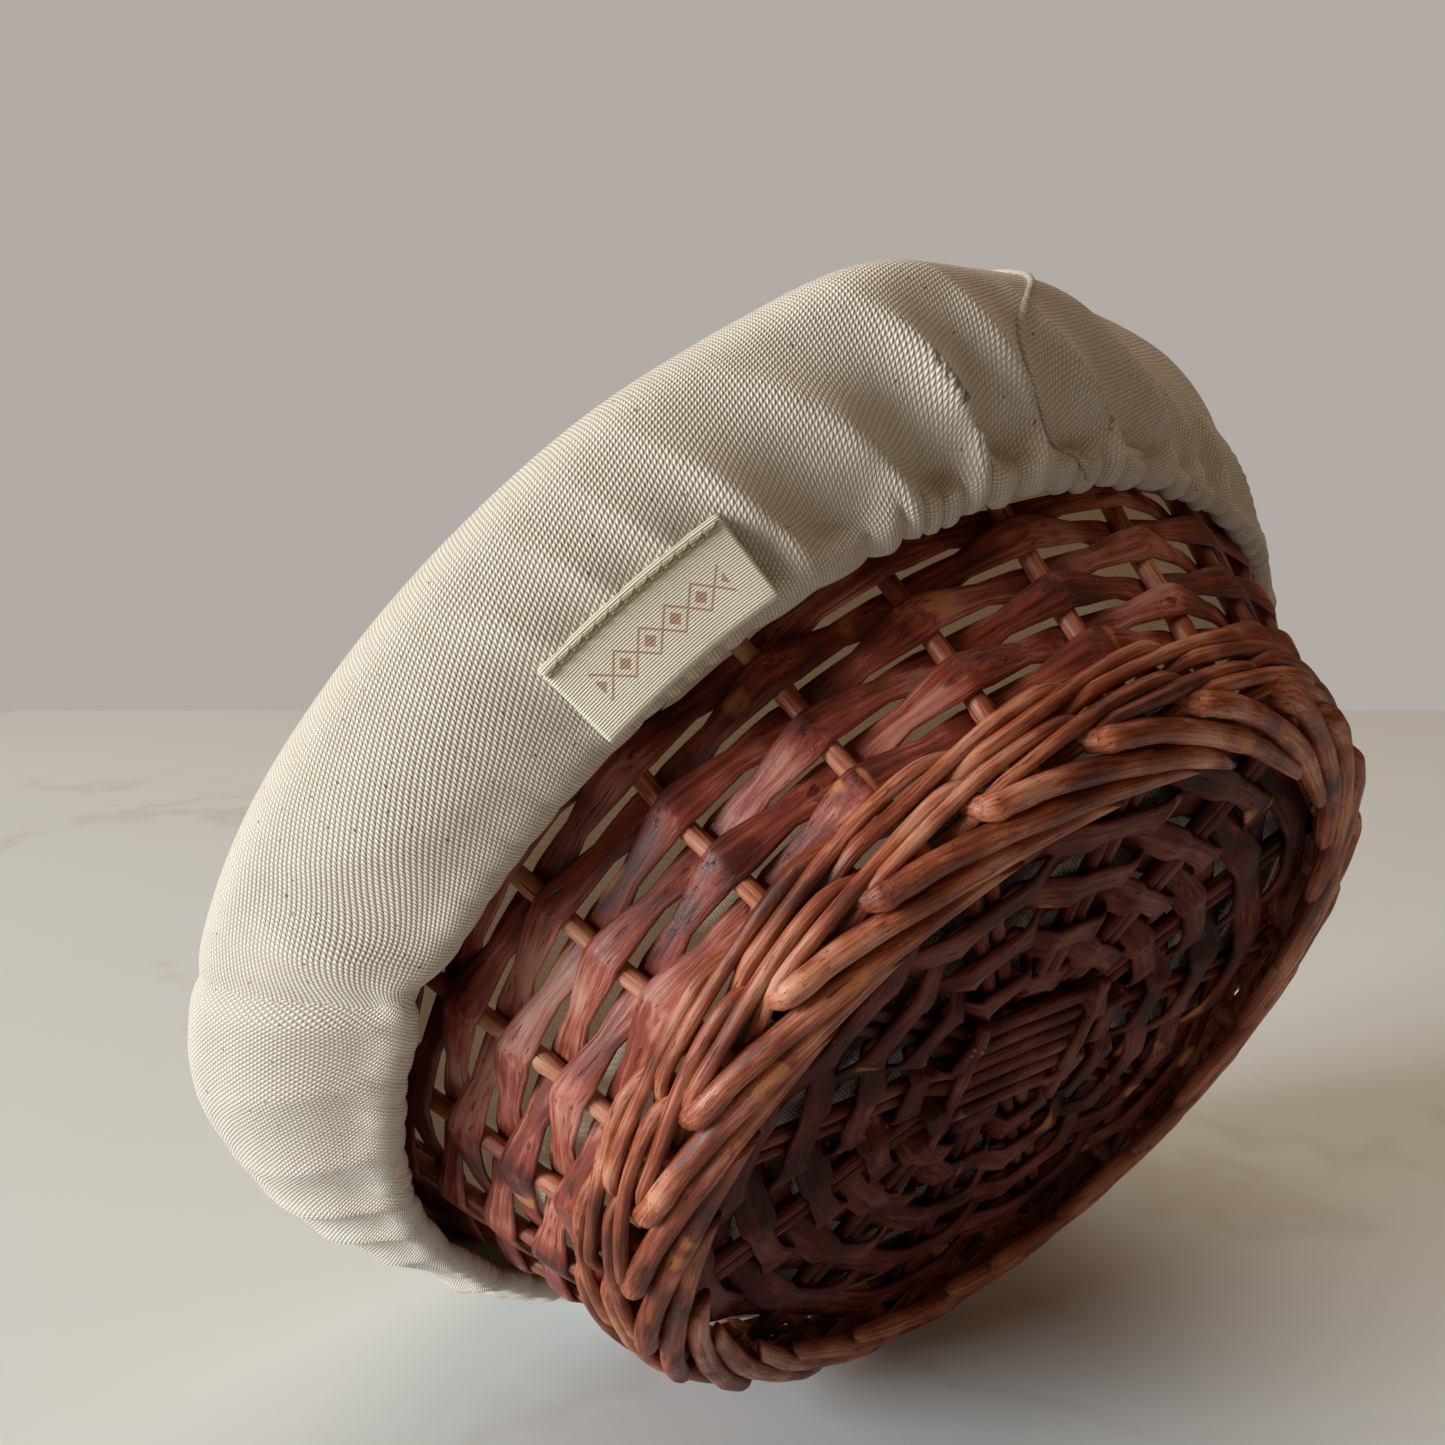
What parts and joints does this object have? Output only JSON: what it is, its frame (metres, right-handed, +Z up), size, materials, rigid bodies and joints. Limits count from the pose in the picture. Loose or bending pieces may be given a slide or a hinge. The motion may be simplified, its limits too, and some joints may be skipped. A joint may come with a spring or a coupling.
{
  "type": "banneton basket",
  "caption": "Round woven willow proofing basket with a footed base and a removable gathered canvas liner whose skirt folds over the rim.",
  "frame": {"origin": "centre of the foot ring's underside", "axes": "+Z up through the basket's opening, -Y towards the ribbon label"},
  "size_m": [0.289, 0.289, 0.0879],
  "materials": {
    "willow_split": "stained split willow, satin",
    "willow_rod": "stained round willow, satin",
    "canvas": "unbleached cotton twill, matt",
    "elastic": "woven elastic",
    "ribbon": "ribbed ribbon"
  },
  "bodies": {
    "basket": {"side_stake_01": "willow_rod", "side_stake_02": "willow_rod", "side_stake_03": "willow_rod", "side_stake_04": "willow_rod", "side_stake_05": "willow_rod", "side_stake_06": "willow_rod", "side_stake_07": "willow_rod", "side_stake_08": "willow_rod", "side_stake_09": "willow_rod", "side_stake_10": "willow_rod", "side_stake_11": "willow_rod", "side_stake_12": "willow_rod", "side_stake_13": "willow_rod", "side_stake_14": "willow_rod", "side_stake_15": "willow_rod", "side_stake_16": "willow_rod", "side_stake_17": "willow_rod", "side_stake_18": "willow_rod", "side_stake_19": "willow_rod", "side_stake_20": "willow_rod", "side_stake_21": "willow_rod", "side_stake_22": "willow_rod", "side_stake_23": "willow_rod", "side_stake_24": "willow_rod", "base_stick_a1": "willow_rod", "base_stick_a2": "willow_rod", "base_stick_a3": "willow_rod", "base_stick_a4": "willow_rod", "base_stick_a5": "willow_rod", "base_stick_a6": "willow_rod", "base_stick_b1": "willow_rod", "base_stick_b2": "willow_rod", "base_stick_b3": "willow_rod", "base_stick_b4": "willow_rod", "base_stick_b5": "willow_rod", "base_stick_b6": "willow_rod", "base_weave_1": "willow_split", "base_weave_2": "willow_split", "base_weave_3": "willow_split", "base_weave_4": "willow_split", "base_weave_5": "willow_split", "base_weave_6": "willow_split", "base_weave_7": "willow_split", "wale_rod_1": "willow_rod", "wale_rod_2": "willow_rod", "wale_rod_3": "willow_rod", "side_weave_01": "willow_split", "side_weave_02": "willow_split", "side_weave_03": "willow_split", "side_weave_04": "willow_split", "side_weave_05": "willow_split", "side_weave_06": "willow_split", "side_weave_07": "willow_split", "side_weave_08": "willow_split", "foot_border": "willow_rod", "top_border": "willow_rod"},
    "liner": {"liner_bowl": "canvas", "liner_skirt": "canvas", "hem_elastic": "elastic"},
    "label": {"ribbon_label": "ribbon"}
  },
  "joints": [
    {"name": "liner_lift", "type": "slide", "parent": "basket", "child": "liner", "axis": [0, 0, 1], "range_m": [0, 0.14], "deforming": ["liner_skirt", "hem_elastic", "ribbon_label"]},
    {"name": "label_flip", "type": "hinge", "parent": "liner", "child": "label", "pos_m": [0.00657, -0.13434, 0.0495], "axis": [-0.9988, -0.0489, 0], "range_deg": [0, 110]}
  ]
}
